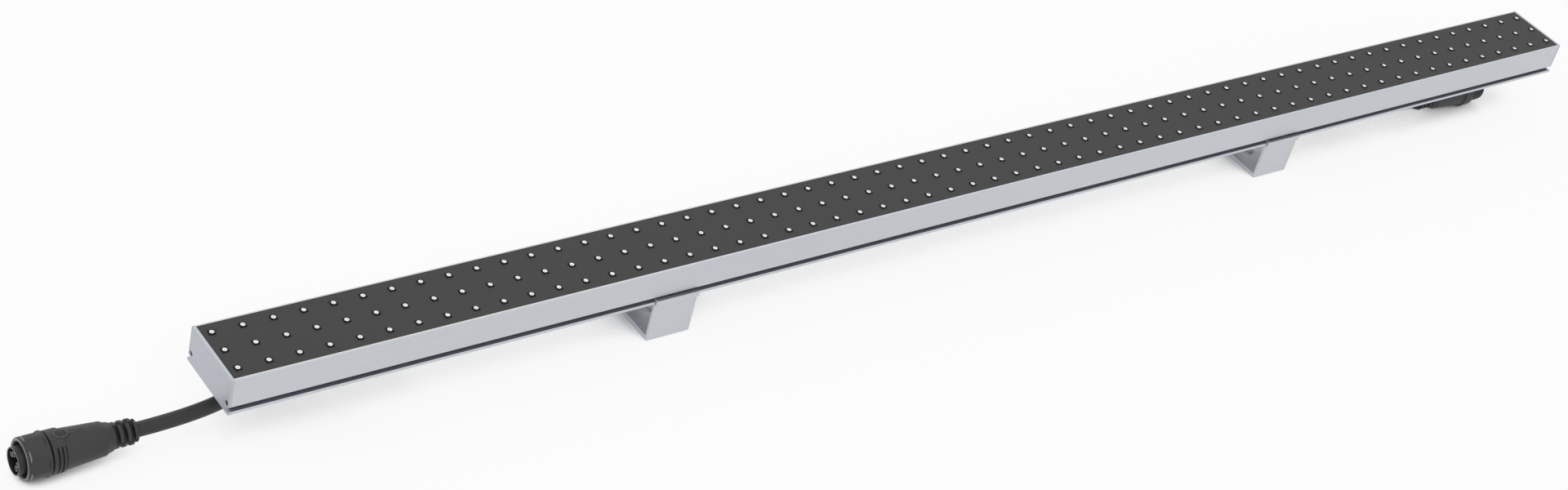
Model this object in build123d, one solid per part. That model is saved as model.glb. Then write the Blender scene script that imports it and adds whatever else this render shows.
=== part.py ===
"""LED pixel tube: a slim aluminium light bar with three rows of LEDs, two slide-on brackets and two
cable tails with a socket plug on the left and a pin plug on the right.

Millimetres. X runs along the bar, Y across it, +Z is the way the light goes. The origin lies under the
middle of the bar, on the surface that the brackets stand on.
"""
from build123d import *
import math
import os

# Aluminium profile
bar_length = 993.6
bar_width = 43.5
bar_underside = 25.2
flange_thickness = 1.8
flange_reach = 0.55
groove_height = 2.45
groove_depth = 2.25
side_height = 17.65
rim_width = 1.2
wall = 1.4
deck_thickness = 1.5
edge_break = 0.3

# Screw ports: solid corners over the grooves, with a long hole for the end cap screws
port_inset = 2.45
port_rise = 1.8
port_block_width = 2.5
port_block_height = 3.95
port_hole_radius = 1.0

# LED boards, the black resin over them and the part of the LEDs that stands out of it
led_rows = 3
led_pitch = 1000 / 60
row_pitch = 14.0
board_count = 4
board_thickness = 1.6
board_side_gap = 0.1
resin_thickness = 1.4
resin_drop = 0.03
package_side = 3.6
package_stand = 0.53

# Driver boards on the ledges of the lower chamber
driver_count = 2
driver_thickness = 1.6
driver_side_gap = 0.2
driver_middle_gap = 10.0
driver_end_gap = 21.8
chip_size = (10.0, 6.2, 1.8)
chips_per_driver = 6
chip_row_y = 9.0
link_size = (12.0, 5.0)
link_window_gap = 0.3
terminal_size = (14.0, 16.0, 6.0)
capacitor_radius = 4.0
capacitor_height = 6.2
capacitor_shift = 40.0

# End caps
cap_thickness = 1.6
cap_spigot_depth = 3.0
cap_spigot_wall = 1.2
cap_spigot_gap = 0.2
seal_thickness = 0.5
seal_width = 0.8
cap_screw_head_radius = 1.5
cap_screw_radius = 0.95
cap_screw_length = 7.0
cap_screw_drop = 0.15
cap_screw_gap = 0.1

# Slide-on brackets
bracket_centre = 234.0
bracket_length = 28.0
bracket_floor = 2.5
bracket_wall = 1.8
bracket_half_width = 22.5
jaw_wall = 1.5
jaw_lip = 1.3
jaw_gap = 0.2
jaw_tip_gap = 0.7
jaw_slope = 1.5
fixing_hole_radius = 2.75
fixing_sink_radius = 4.75

# Cable boots under the bar
boot_length = 24.0
boot_width = 30.0
boot_plate = 3.2
boot_corner = 4.0
boot_axis_drop = 7.6
boot_radius = 6.6
boot_tip_radius = 4.7
boot_taper = 20.0
left_boot_x = -428.0
right_boot_x = 279.5

# Cables
cable_diameter = 7.7
core_bundle = 5.0
core_gap = 0.2
cable_shares = ((0.0, 0.0, 0.0), (0.209, 0.0, 0.0), (0.608, 1.0, 1.0), (1.0, 1.0, 1.0))

# Socket plug on the left tail; stations along its axis are counted from the front of its nut
socket_plug_x = -594.5
socket_plug_y = -2.55
plug_nut_radius = 11.5
nut_across_flats = 21.6
nut_length = 12.0
nut_bore_radius = 9.2
nut_back_wall = 1.5
nut_chamfer = 1.0
nut_corner_angle = 15.0
nut_axial_gap = 0.3
nut_collar_gap = 0.8
neck_radius = 7.7
neck_gap = 0.3
insert_reach = 3.3
insert_radius = 7.1
insert_wall = 0.65
insert_cup_depth = 8.0
insert_flange_radius = 8.5
insert_flange = 1.2
contact_ring_radius = 3.7
contact_angles = (27.0, 77.0, 172.0, 222.0)
sleeve_radius = 1.5
socket_radius = 0.8
sleeve_setback = 0.5

# Moulded plug body, shared by both plugs
collar_radius = 10.9
collar_length = 6.7
collar_chamfer = 0.8
body_front_radius = 10.2
body_rear_radius = 8.6
body_taper = 20.7
relief_radius = 6.6
relief_length = 13.0
relief_tip_radius = 5.8
relief_slot = 2.1
relief_slot_pitch = 3.9
relief_slots = 3
relief_slot_angle = 135.0
relief_core_radius = 4.7
plug_shoulder = 4.0
plug_step = 1.3

# Pin plug on the right tail; stations are counted from the front of its shell
pin_plug_x = 450.0
pin_plug_y = -3.0
pin_plug_collar_radius = 10.5
pin_plug_scale = 0.92
pin_plug_taper = 24.3
shell_radius = 8.9
shell_bore_radius = 7.45
shell_length = 12.0
shell_cup_depth = 10.5
shell_flange_radius = 9.7
shell_flange = 1.2
pin_radius = 0.75
pin_reach = 7.5

# Sides of the small round pieces that repeat: screws, their holes, contacts and capacitors
small_sides = 12

# Places worked out from the sizes above
half_width = bar_width / 2
flange_half = half_width + flange_reach
groove_half = half_width - groove_depth
channel_half = half_width - rim_width
chamber_half = half_width - wall
port_block_half = groove_half - port_block_width
flange_top = bar_underside + flange_thickness
groove_roof = flange_top + groove_height
rim_top = groove_roof + side_height
ledge_top = groove_roof + port_block_height
resin_top = rim_top - resin_drop
board_top = resin_top - resin_thickness
board_seat = board_top - board_thickness
deck_underside = board_seat - deck_thickness
port_y = half_width - port_inset
port_z = groove_roof + port_rise
driver_top = ledge_top + driver_thickness
package_top = resin_top + package_stand
boot_axis_z = bar_underside - boot_axis_drop
board_length = bar_length / board_count
led_columns = round(bar_length / led_pitch)
driver_length = (bar_length - 2 * driver_end_gap - (driver_count - 1) * driver_middle_gap) / driver_count
insert_back = nut_length - nut_back_wall - nut_axial_gap
socket_collar = nut_length + nut_collar_gap
socket_back = socket_collar + collar_length + collar_chamfer + body_taper + plug_shoulder + relief_length
pin_front = shell_length + shell_flange
pin_back = pin_front + collar_length + collar_chamfer + pin_plug_taper + plug_shoulder + relief_length


def yz_prism(points, x_from, x_to):
    """Straight profile through YZ points, from one X to another."""
    face = make_face(Polyline(*points, close=True))
    return Pos(x_from, 0, 0) * extrude(Plane.YZ * face, x_to - x_from, dir=(1, 0, 0))


def box_between(low, high):
    """Box from its lowest to its highest corner."""
    size = [b - a for a, b in zip(low, high)]
    middle = [(a + b) / 2 for a, b in zip(low, high)]
    return Pos(*middle) * Box(*size)


def both_sides(half):
    """Half outline at +Y, from the bottom to the top, closed by its mirror image."""
    return half + [(-y, z) for y, z in reversed(half)]


def turned(points):
    """Solid of revolution about X through (x, radius) points."""
    return revolve(make_face(Polyline(*points, close=True)), Axis.X, 360)


def rod_x(radius, x_from, x_to, y=0.0, z=0.0):
    """Round bar along X."""
    return Pos((x_from + x_to) / 2, y, z) * (Rot(0, 90, 0) * Cylinder(radius, x_to - x_from))


def small_turned(stations):
    """Small turned form along X with few sides, through (x, radius) stations."""
    rings = [Pos(x, 0, 0) * (Plane.YZ * RegularPolygon(radius, small_sides)) for x, radius in stations]
    return loft(rings, ruled=True)


def rod_z(radius, z_from, z_to, x=0.0, y=0.0):
    """Round bar along Z."""
    return Pos(x, y, (z_from + z_to) / 2) * Cylinder(radius, z_to - z_from)


def contact_places():
    """YZ offsets of the contacts from a plug's axis."""
    angles = [math.radians(a) for a in contact_angles]
    return [(contact_ring_radius * math.cos(a), contact_ring_radius * math.sin(a)) for a in angles]


def outer_side():
    """Outside of the bar from its underside to its rim, with the bracket groove."""
    c = edge_break
    return [
        (flange_half - c, bar_underside), (flange_half, bar_underside + c),
        (flange_half, flange_top - c), (flange_half - c, flange_top),
        (groove_half, flange_top), (groove_half, groove_roof),
        (half_width - c, groove_roof), (half_width, groove_roof + c),
        (half_width, rim_top - c), (half_width - c, rim_top),
    ]


def chamber_side(shrink=0.0):
    """Half outline of the lower chamber, drawn in by a clearance."""
    return [
        (port_block_half - shrink, flange_top + shrink), (port_block_half - shrink, ledge_top + shrink),
        (chamber_half - shrink, ledge_top + shrink), (chamber_half - shrink, deck_underside - shrink),
    ]


def link_places():
    """X of each plug-in link between a driver board and an LED board."""
    return [(i - (board_count - 1) / 2) * board_length for i in range(board_count)]


def core_slot(z_from, z_to):
    """Square passage for the cable cores."""
    half = core_bundle / 2 + core_gap
    return box_between((-half, -half, z_from), (half, half, z_to))


def housing():
    """Extruded bar: flanges, bracket grooves, LED channel, deck, screw ports and lower chamber."""
    channel = [(channel_half, rim_top), (channel_half, board_seat)]
    bar = yz_prism(both_sides(outer_side() + channel), -bar_length / 2, bar_length / 2)
    bar -= yz_prism(both_sides(chamber_side()), -bar_length / 2, bar_length / 2)
    port = small_turned([(-bar_length / 2, port_hole_radius), (bar_length / 2, port_hole_radius)])
    for side in (-1, 1):
        bar -= Pos(0, side * port_y, port_z) * port
    window_x = link_size[0] / 2 + link_window_gap
    window_y = link_size[1] / 2 + link_window_gap
    for x in link_places():
        bar -= box_between((x - window_x, -window_y, deck_underside), (x + window_x, window_y, board_seat))
    for x in (left_boot_x, right_boot_x):
        bar -= Pos(x, 0, 0) * core_slot(bar_underside, flange_top)
    return bar


def led_places():
    """XY of every LED."""
    return [
        ((i - (led_columns - 1) / 2) * led_pitch, (j - (led_rows - 1) / 2) * row_pitch)
        for i in range(led_columns) for j in range(led_rows)
    ]


def led_board(index):
    """One of the boards laid end to end in the LED channel."""
    x = (index - (board_count - 1) / 2) * board_length
    half_x = board_length / 2 - board_side_gap
    half_y = channel_half - board_side_gap
    return box_between((x - half_x, -half_y, board_seat), (x + half_x, half_y, board_top))


def led_packages():
    """Square LED bodies, from the resin's surface up."""
    body = Pos(0, 0, resin_top + package_stand / 2) * Box(package_side, package_side, package_stand)
    return Compound([Pos(x, y, 0) * body for x, y in led_places()])


def black_resin():
    """Black casting over the boards."""
    low = (-bar_length / 2, -channel_half, board_top)
    return box_between(low, (bar_length / 2, channel_half, resin_top))


def driver_middle(index):
    """X of a driver board's middle."""
    return (index - (driver_count - 1) / 2) * (driver_length + driver_middle_gap)


def driver_board(index):
    """Long board on the ledges of the lower chamber."""
    x = driver_middle(index)
    half_y = chamber_half - driver_side_gap
    low = (x - driver_length / 2, -half_y, ledge_top)
    return box_between(low, (x + driver_length / 2, half_y, driver_top))


def driver_chips():
    """Driver chips in two rows, clear of the plug-in links."""
    chips = []
    step = driver_length / chips_per_driver
    for board in range(driver_count):
        for i in range(chips_per_driver):
            x = driver_middle(board) + (i - (chips_per_driver - 1) / 2) * step
            y = chip_row_y if i % 2 else -chip_row_y
            chips.append(Pos(x, y, driver_top + chip_size[2] / 2) * Box(*chip_size))
    return Compound(chips)


def driver_capacitors():
    """One round capacitor on each driver board."""
    can = Rot(0, -90, 0) * small_turned([
        (driver_top, capacitor_radius), (driver_top + capacitor_height, capacitor_radius),
    ])
    return Compound([Pos(driver_middle(i) + capacitor_shift, 0, 0) * can for i in range(driver_count)])


def board_links():
    """Plug-in links that stand on the driver boards and reach the LED boards through the deck."""
    half_x, half_y = link_size[0] / 2, link_size[1] / 2
    return Compound([
        box_between((x - half_x, -half_y, driver_top), (x + half_x, half_y, board_seat))
        for x in link_places()
    ])


def wire_terminals():
    """Terminal blocks under the driver boards, where the cable cores end."""
    half_x, half_y = terminal_size[0] / 2, terminal_size[1] / 2
    low = ledge_top - terminal_size[2] + core_gap
    return Compound([
        box_between((x - half_x, -half_y, low), (x + half_x, half_y, ledge_top))
        for x in (left_boot_x, right_boot_x)
    ])


def chamber_ring(x_from, x_to):
    """Flat ring round the chamber's mouth."""
    outer = yz_prism(both_sides(chamber_side(-seal_width)), x_from, x_to)
    return outer - yz_prism(both_sides(chamber_side()), x_from, x_to)


def end_cap(side):
    """End plate with the bar's outline, a hollow spigot, a seal groove and two countersunk holes."""
    inner, outer = bar_length / 2, bar_length / 2 + cap_thickness
    cap = yz_prism(both_sides(outer_side()), inner, outer)
    cap -= chamber_ring(inner, inner + seal_thickness)
    spigot = yz_prism(both_sides(chamber_side(cap_spigot_gap)), inner - cap_spigot_depth, inner)
    spigot -= yz_prism(both_sides(chamber_side(cap_spigot_gap + cap_spigot_wall)),
                       inner - cap_spigot_depth, inner)
    cap += spigot
    for y in (-port_y, port_y):
        cap -= Pos(0, y, port_z) * small_turned([
            (inner, cap_screw_radius + cap_screw_gap), (outer, cap_screw_head_radius + cap_screw_gap),
        ])
    return cap if side > 0 else mirror(cap, Plane.YZ)


def end_seal(side):
    """Flat seal in the end cap's groove."""
    inner = bar_length / 2
    ring = chamber_ring(inner, inner + seal_thickness)
    return ring if side > 0 else mirror(ring, Plane.YZ)


def end_cap_screws():
    """Four small countersunk screws, two in each end cap."""
    seat = bar_length / 2
    screw = small_turned([
        (seat - cap_screw_length, cap_screw_radius), (seat, cap_screw_radius),
        (seat + cap_thickness - cap_screw_drop, cap_screw_head_radius),
    ])
    screws = [Pos(0, y, port_z) * screw for y in (-port_y, port_y)]
    return Compound(screws + [mirror(one, Plane.YZ) for one in screws])


def bracket(x_middle):
    """Extruded foot whose jaws wrap the bar's flanges and slide in its grooves."""
    jaw_half = flange_half + jaw_gap + jaw_wall
    seat = bar_underside - jaw_gap
    lip_low = flange_top + jaw_gap
    lip_top = lip_low + jaw_lip
    lip_tip = groove_half + jaw_tip_gap
    c = edge_break
    outside = [
        (bracket_half_width - c, 0), (bracket_half_width, c),
        (bracket_half_width, seat - jaw_slope), (jaw_half, seat - jaw_slope + jaw_half - bracket_half_width),
        (jaw_half, lip_top - c), (jaw_half - c, lip_top), (lip_tip, lip_top), (lip_tip, lip_low),
        (flange_half + jaw_gap, lip_low), (flange_half + jaw_gap, seat),
        (bracket_half_width - bracket_wall, seat), (bracket_half_width - bracket_wall, bracket_floor),
    ]
    foot = yz_prism(both_sides(outside), x_middle - bracket_length / 2, x_middle + bracket_length / 2)
    sink = fixing_sink_radius - fixing_hole_radius
    foot -= rod_z(fixing_hole_radius, 0, bracket_floor, x_middle)
    cone = Cone(fixing_hole_radius, fixing_sink_radius, sink)
    return foot - Pos(x_middle, 0, bracket_floor - sink / 2) * cone


def cable_boot(x_middle, facing):
    """Moulded cable entry: base plate, half-round body and long taper over the cable."""
    top = bar_underside
    half = boot_length / 2
    plate = Rectangle(boot_length, boot_width)
    plate = chamfer(plate.vertices(), boot_corner)
    boot = Pos(0, 0, top - boot_plate) * extrude(plate, boot_plate)
    body = rod_x(boot_radius, -half, half)
    taper = turned([
        (-half - boot_taper, 0), (-half - boot_taper, boot_tip_radius), (-half, boot_radius), (-half, 0),
    ])
    web = box_between((-half, -boot_radius, 0), (half, boot_radius, top - boot_axis_z))
    boot += Pos(0, 0, boot_axis_z) * (body + taper + web)
    boot -= core_slot(boot_axis_z, top)
    return Pos(x_middle, 0, 0) * (boot if facing < 0 else mirror(boot, Plane.YZ))


def cable_cores(x_middle):
    """Bundle of cores from inside a boot up to its terminal block."""
    top = ledge_top - terminal_size[2] + core_gap
    half = core_bundle / 2
    return Pos(x_middle, 0, 0) * box_between((-half, -half, boot_axis_z), (half, half, top))


def cable_route(boot_x, facing, plug_end, plug_y, plug_z):
    """Points from a boot's tip down to a plug's tail, a few runs with shallow turns."""
    start = boot_x + facing * (boot_length / 2 + boot_taper)
    points = []
    for along, across, down in cable_shares:
        x = start + along * (plug_end - start)
        z = boot_axis_z + down * (plug_z - boot_axis_z)
        points.append((x, across * plug_y, z))
    return points


def cable(points, name):
    """Round cable along straight runs joined by tangent arcs."""
    runs = [Vector(*b) - Vector(*a) for a, b in zip(points, points[1:])]
    radii = []
    for one, two in zip(runs, runs[1:]):
        half_turn = math.radians(one.get_angle(two)) / 2
        radii.append(0.45 * min(one.length, two.length) / math.tan(half_turn))
    path = FilletPolyline(*points, radius=radii)
    tube = sweep(Plane(path @ 0, z_dir=path % 0) * Circle(cable_diameter / 2), path)
    print(name, "bend radii", [round(r, 1) for r in radii])
    expected = path.length * math.pi * cable_diameter ** 2 / 4
    print(name, "length", round(path.length, 2), "volume", round(tube.volume, 2), "of", round(expected, 2))
    return tube


def coupling_nut():
    """Six-sided nut with chamfered corners and an inner collar that keeps it on the plug."""
    c = nut_chamfer
    blank = turned([
        (0, 0), (0, plug_nut_radius - c), (c, plug_nut_radius),
        (nut_length, plug_nut_radius), (nut_length, 0),
    ])
    hexagon = Rot(0, 0, nut_corner_angle) * RegularPolygon(nut_across_flats / 2, 6, major_radius=False)
    nut = blank & extrude(Plane.YZ * hexagon, nut_length, dir=(1, 0, 0))
    nut -= rod_x(nut_bore_radius, 0, nut_length - nut_back_wall)
    return nut - rod_x(neck_radius + neck_gap, 0, nut_length)


def moulded_body(front, collar, scale, taper):
    """Outline of a moulded plug body behind its coupling, as (x, radius) points."""
    a = front + collar_length
    b = a + collar_chamfer + taper
    c = b + plug_shoulder
    d = c + relief_length
    step = (body_rear_radius - plug_step) * scale
    return [
        (front, collar), (a, collar), (a + collar_chamfer, body_front_radius * scale),
        (b, body_rear_radius * scale), (c, step),
        (c, relief_radius * scale), (d - collar_chamfer, relief_radius * scale),
        (d, relief_tip_radius * scale), (d, 0),
    ]


def relief_cuts(back, scale):
    """Pairs of flat slots that let the strain relief bend."""
    depth = relief_core_radius * scale
    slot = box_between((0, depth, -relief_radius), (relief_slot, 2 * relief_radius, relief_radius))
    first = back - relief_length + relief_slot / 2
    cuts = []
    for i in range(relief_slots):
        for turn in (relief_slot_angle, relief_slot_angle + 180):
            cuts.append(Pos(first + i * relief_slot_pitch, 0, 0) * (Rot(turn, 0, 0) * slot))
    return cuts


def socket_body():
    """Moulded body of the socket plug: neck for the nut, grip collar, taper and strain relief."""
    outline = [(insert_back, 0), (insert_back, neck_radius), (socket_collar, neck_radius)]
    body = turned(outline + moulded_body(socket_collar, collar_radius, 1.0, body_taper))
    for cut in relief_cuts(socket_back, 1.0):
        body -= cut
    return body


def socket_insert():
    """Contact carrier: open cup for the sockets, with a flange that keeps the nut on."""
    insert = turned([
        (-insert_reach, 0), (-insert_reach, insert_radius), (insert_back - insert_flange, insert_radius),
        (insert_back - insert_flange, insert_flange_radius), (insert_back, insert_flange_radius),
        (insert_back, 0),
    ])
    return insert - rod_x(insert_radius - insert_wall, -insert_reach, insert_cup_depth - insert_reach)


def socket_contacts():
    """Hollow sockets that stand on the floor of the insert's cup."""
    floor = insert_cup_depth - insert_reach
    front = -insert_reach + sleeve_setback
    sleeve = small_turned([(front, sleeve_radius), (floor, sleeve_radius)])
    sleeve -= small_turned([(front, socket_radius), (floor, socket_radius)])
    return Compound([Pos(0, y, z) * sleeve for y, z in contact_places()])


def pin_shell():
    """Threaded half of the coupling, drawn at its outer diameter, with a flange."""
    shell = turned([
        (0, 0), (0, shell_radius), (shell_length, shell_radius),
        (shell_length, shell_flange_radius), (pin_front, shell_flange_radius), (pin_front, 0),
    ])
    return shell - rod_x(shell_bore_radius, 0, shell_cup_depth)


def pin_contacts():
    """Pins on the floor of the shell, at the mirrored places of the sockets."""
    pin = small_turned([(shell_cup_depth - pin_reach, pin_radius), (shell_cup_depth, pin_radius)])
    return Compound([Pos(0, y, z) * pin for y, z in contact_places()])


def pin_body():
    """Moulded body of the pin plug."""
    outline = moulded_body(pin_front, pin_plug_collar_radius, pin_plug_scale, pin_plug_taper)
    body = turned([(pin_front, 0)] + outline)
    for cut in relief_cuts(pin_back, pin_plug_scale):
        body -= cut
    return body


def on_socket_axis(solid):
    """Left plug: its front looks to -X."""
    return Pos(socket_plug_x, socket_plug_y, plug_nut_radius) * solid


def on_pin_axis(solid):
    """Right plug: its front looks to +X."""
    return Pos(pin_plug_x, pin_plug_y, pin_plug_collar_radius) * mirror(solid, Plane.YZ)


left_route = cable_route(left_boot_x, -1, socket_plug_x + socket_back, socket_plug_y, plug_nut_radius)
right_route = cable_route(right_boot_x, 1, pin_plug_x - pin_back, pin_plug_y, pin_plug_collar_radius)

parts = {
    "housing": housing(),
    "led_packages": led_packages(),
    "black_resin": black_resin(),
    "left_driver_board": driver_board(0),
    "right_driver_board": driver_board(1),
    "driver_chips": driver_chips(),
    "driver_capacitors": driver_capacitors(),
    "board_links": board_links(),
    "wire_terminals": wire_terminals(),
    "left_end_cap": end_cap(-1),
    "right_end_cap": end_cap(1),
    "left_end_seal": end_seal(-1),
    "right_end_seal": end_seal(1),
    "end_cap_screws": end_cap_screws(),
    "left_bracket": bracket(-bracket_centre),
    "right_bracket": bracket(bracket_centre),
    "cable_boots": Compound([cable_boot(left_boot_x, -1), cable_boot(right_boot_x, 1)]),
    "cable_cores": Compound([cable_cores(left_boot_x), cable_cores(right_boot_x)]),
    "cables": Compound([cable(left_route, "left cable"), cable(right_route, "right cable")]),
    "plug_bodies": Compound([on_socket_axis(socket_body()), on_pin_axis(pin_body())]),
    "socket_insert": on_socket_axis(socket_insert()),
    "socket_contacts": on_socket_axis(socket_contacts()),
    "coupling_nut": on_socket_axis(coupling_nut()),
    "pin_shell": on_pin_axis(pin_shell()),
    "pin_contacts": on_pin_axis(pin_contacts()),
}
for number in range(board_count):
    parts[f"led_board_{number + 1}"] = led_board(number)

os.makedirs("parts", exist_ok=True)
for name, shape in parts.items():
    shape.label = name
    export_step(shape, f"parts/{name}.step")
print(len(parts), "parts")
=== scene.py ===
import bpy
import bmesh
import math
from mathutils import Matrix, Vector


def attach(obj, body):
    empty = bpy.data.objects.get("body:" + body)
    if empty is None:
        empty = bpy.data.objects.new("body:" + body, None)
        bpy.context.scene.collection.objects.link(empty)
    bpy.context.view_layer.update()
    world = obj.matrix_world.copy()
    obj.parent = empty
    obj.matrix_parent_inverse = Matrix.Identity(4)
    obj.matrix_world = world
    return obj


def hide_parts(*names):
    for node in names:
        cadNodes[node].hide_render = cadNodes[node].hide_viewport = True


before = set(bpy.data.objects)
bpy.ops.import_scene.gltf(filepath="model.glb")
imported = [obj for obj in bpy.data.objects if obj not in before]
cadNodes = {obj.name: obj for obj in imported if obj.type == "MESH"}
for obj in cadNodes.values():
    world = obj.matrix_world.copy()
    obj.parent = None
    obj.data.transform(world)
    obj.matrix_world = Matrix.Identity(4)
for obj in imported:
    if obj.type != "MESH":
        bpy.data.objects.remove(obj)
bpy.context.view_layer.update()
mm = 0.001
print("frame loaded:", len(cadNodes), "nodes")

# shader helpers


class Shade:
    # one output socket; arithmetic on it adds Math nodes
    def __init__(self, paint, socket):
        self.paint = paint
        self.socket = socket

    def math(self, operation, *others):
        node = self.paint.node("ShaderNodeMath", {"operation": operation})
        for place, value in enumerate((self,) + others):
            self.paint.feed(node.inputs[place], value)
        return Shade(self.paint, node.outputs[0])

    def reversedMath(self, operation, other):
        node = self.paint.node("ShaderNodeMath", {"operation": operation})
        self.paint.feed(node.inputs[0], other)
        self.paint.feed(node.inputs[1], self)
        return Shade(self.paint, node.outputs[0])

    def __add__(self, other):
        return self.math("ADD", other)

    def __radd__(self, other):
        return self.reversedMath("ADD", other)

    def __sub__(self, other):
        return self.math("SUBTRACT", other)

    def __rsub__(self, other):
        return self.reversedMath("SUBTRACT", other)

    def __mul__(self, other):
        return self.math("MULTIPLY", other)

    def __rmul__(self, other):
        return self.reversedMath("MULTIPLY", other)

    def __truediv__(self, other):
        return self.math("DIVIDE", other)

    def ramp(self, low, high, outLow=0.0, outHigh=1.0):
        node = self.paint.node("ShaderNodeMapRange", {"clamp": True}, {
            "Value": self, "From Min": low, "From Max": high, "To Min": outLow, "To Max": outHigh})
        return Shade(self.paint, node.outputs[0])


class Paint:
    # one material under construction
    def __init__(self, name, metallic=0.0, roughness=0.5, coat=0.0, specular=0.5):
        self.material = bpy.data.materials.new(name)
        self.material.use_nodes = True
        self.tree = self.material.node_tree
        self.surface = self.tree.nodes["Principled BSDF"]
        self.surface.inputs["Metallic"].default_value = metallic
        self.surface.inputs["Roughness"].default_value = roughness
        self.surface.inputs["Coat Weight"].default_value = coat
        self.surface.inputs["Specular IOR Level"].default_value = specular
        self.coords = self.node("ShaderNodeTexCoord").outputs["Object"]

    def feed(self, socket, value):
        if isinstance(value, Shade):
            value = value.socket
        if isinstance(value, bpy.types.NodeSocket):
            self.tree.links.new(value, socket)
        elif value is not None:
            socket.default_value = value

    def node(self, kind, settings=None, sockets=None):
        # settings such as an operation come first, then socket values or links
        node = self.tree.nodes.new(kind)
        for name, value in (settings or {}).items():
            setattr(node, name, value)
        for name, value in (sockets or {}).items():
            self.feed(node.inputs[name], value)
        return node

    def shade(self, kind, settings=None, sockets=None, output=0):
        return Shade(self, self.node(kind, settings, sockets).outputs[output])

    def stretched(self, scale):
        # object coordinates, scaled so that a pattern runs long or fine along an axis
        return self.node("ShaderNodeMapping", {}, {"Vector": self.coords, "Scale": scale}).outputs[0]

    def noise(self, vector, scale, detail=3.0, roughness=0.55):
        return self.shade("ShaderNodeTexNoise", {}, {
            "Vector": vector, "Scale": scale, "Detail": detail, "Roughness": roughness})

    def axes(self, vector=None):
        split = self.node("ShaderNodeSeparateXYZ", {}, {0: vector or self.coords})
        return [Shade(self, socket) for socket in split.outputs]

    def paintedHighlightAndShade(self, color, pale, dark, breakup):
        # the mesh's own marks: above zero paints a highlight on edges, below zero paints shade into hollows
        mark = Shade(self, self.node("ShaderNodeAttribute", {"attribute_name": "mark"}).outputs["Fac"])
        paintedHighlight = (mark * (0.55 + breakup * 0.9)).ramp(0.1, 1.0)
        color = self.mixColor(paintedHighlight, color, pale)
        return self.mixColor(mark.ramp(0.0, -1.0), color, dark)

    def mixColor(self, factor, one, two):
        node = self.node("ShaderNodeMix", {"data_type": "RGBA"})
        self.feed(node.inputs["Factor"], factor)
        for place, value in ((6, one), (7, two)):
            self.feed(node.inputs[place], (*value, 1) if isinstance(value, tuple) else value)
        return node.outputs[2]

    def bump(self, height, strength, distance, previous=None):
        node = self.node("ShaderNodeBump", {}, {
            "Height": height, "Strength": strength, "Distance": distance, "Normal": previous})
        return node.outputs[0]

    def set(self, **values):
        names = {"color": "Base Color", "roughness": "Roughness", "metallic": "Metallic",
                 "coat": "Coat Weight", "normal": "Normal"}
        for name, value in values.items():
            self.feed(self.surface.inputs[names[name]], value)
        return self.material


def toLinear(grey):
    # a screen value from 0 to 255 as the light that it stands for
    value = grey / 255
    return value / 12.92 if value <= 0.04045 else ((value + 0.055) / 1.055) ** 2.4


def tone(red, green, blue):
    return (toLinear(red), toLinear(green), toLinear(blue))


# finishes

profile = {
    "groove": (27.0, 29.45), "flangeEdge": 22.1, "lipTop": 28.5, "softEdge": 0.06, "roughen": 0.3,
    # painted shade: the colour that the groove and the jaw's top are darkened to
    "dark": tone(116, 120, 127),
}


def between(value, low, high, soft):
    # 1 inside a band and 0 outside it, with soft ends
    return value.ramp(low - soft, low) * value.ramp(high + soft, high)


def grooveShade(paint, color, dark):
    # painted shade: the bracket groove's colour is darkened below the faces beside it, standing in for the
    # shade in the groove
    x, y, z = paint.axes()
    low, high = profile["groove"]
    inside = y.math("ABSOLUTE").ramp(profile["flangeEdge"] * mm, (profile["flangeEdge"] - 0.1) * mm)
    groove = between(z, low * mm, high * mm, profile["softEdge"] * mm) * inside
    return paint.mixColor(groove, color, dark), groove


def lipShade(paint, color, dark):
    # painted shade: the jaw's top lies in the groove, and its colour is darkened to carry on the groove's
    # painted shade
    x, y, z = paint.axes()
    top = z.ramp((profile["lipTop"] - profile["softEdge"]) * mm, (profile["lipTop"] - 0.02) * mm)
    return paint.mixColor(top, color, dark)


def extrudedAluminium(name, light, dark, roughness, metallic=0.55, bar=False):
    # drawn lines along the bar, soft clouding and a fine grain; painted shade darkens the bar's groove and a
    # foot's jaw top
    paint = Paint(name, metallic=metallic, roughness=roughness)
    lines = paint.noise(paint.stretched((1.2, 420, 420)), 5.0, detail=2.0)
    fine = paint.noise(paint.stretched((6, 1600, 1600)), 3.0, detail=1.0)
    cloud = paint.noise(paint.coords, 22.0, detail=4.0)
    grain = paint.noise(paint.coords, 2600.0, detail=1.0)
    mark = lines * 0.5 + cloud * 0.35 + fine * 0.15
    color = paint.mixColor(mark.ramp(0.32, 0.68), dark, light)
    rough = (lines + cloud).ramp(0.7, 1.3, roughness - 0.06, roughness + 0.07)
    if bar:
        # painted shade in the groove
        color, groove = grooveShade(paint, color, profile["dark"])
        rough = rough + groove * profile["roughen"]
    else:
        # painted shade on the jaw's top
        color = lipShade(paint, color, profile["dark"])
    normal = paint.bump(lines, 0.10, 0.00008)
    normal = paint.bump(grain, 0.06, 0.00004, normal)
    return paint.set(color=color, roughness=rough, normal=normal)


def blastedAluminium(name, light, dark, roughness, metallic=0.4):
    # even satin coat with soft clouding and a faint speckle
    paint = Paint(name, metallic=metallic, roughness=roughness)
    cloud = paint.noise(paint.coords, 55.0, detail=4.0)
    speck = paint.noise(paint.coords, 3400.0, detail=2.0)
    color = paint.mixColor((cloud * 0.7 + speck * 0.3).ramp(0.35, 0.65), dark, light)
    rough = cloud.ramp(0.35, 0.65, roughness - 0.05, roughness + 0.06)
    normal = paint.bump(speck, 0.12, 0.00005)
    return paint.set(color=color, roughness=rough, normal=normal)


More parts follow.
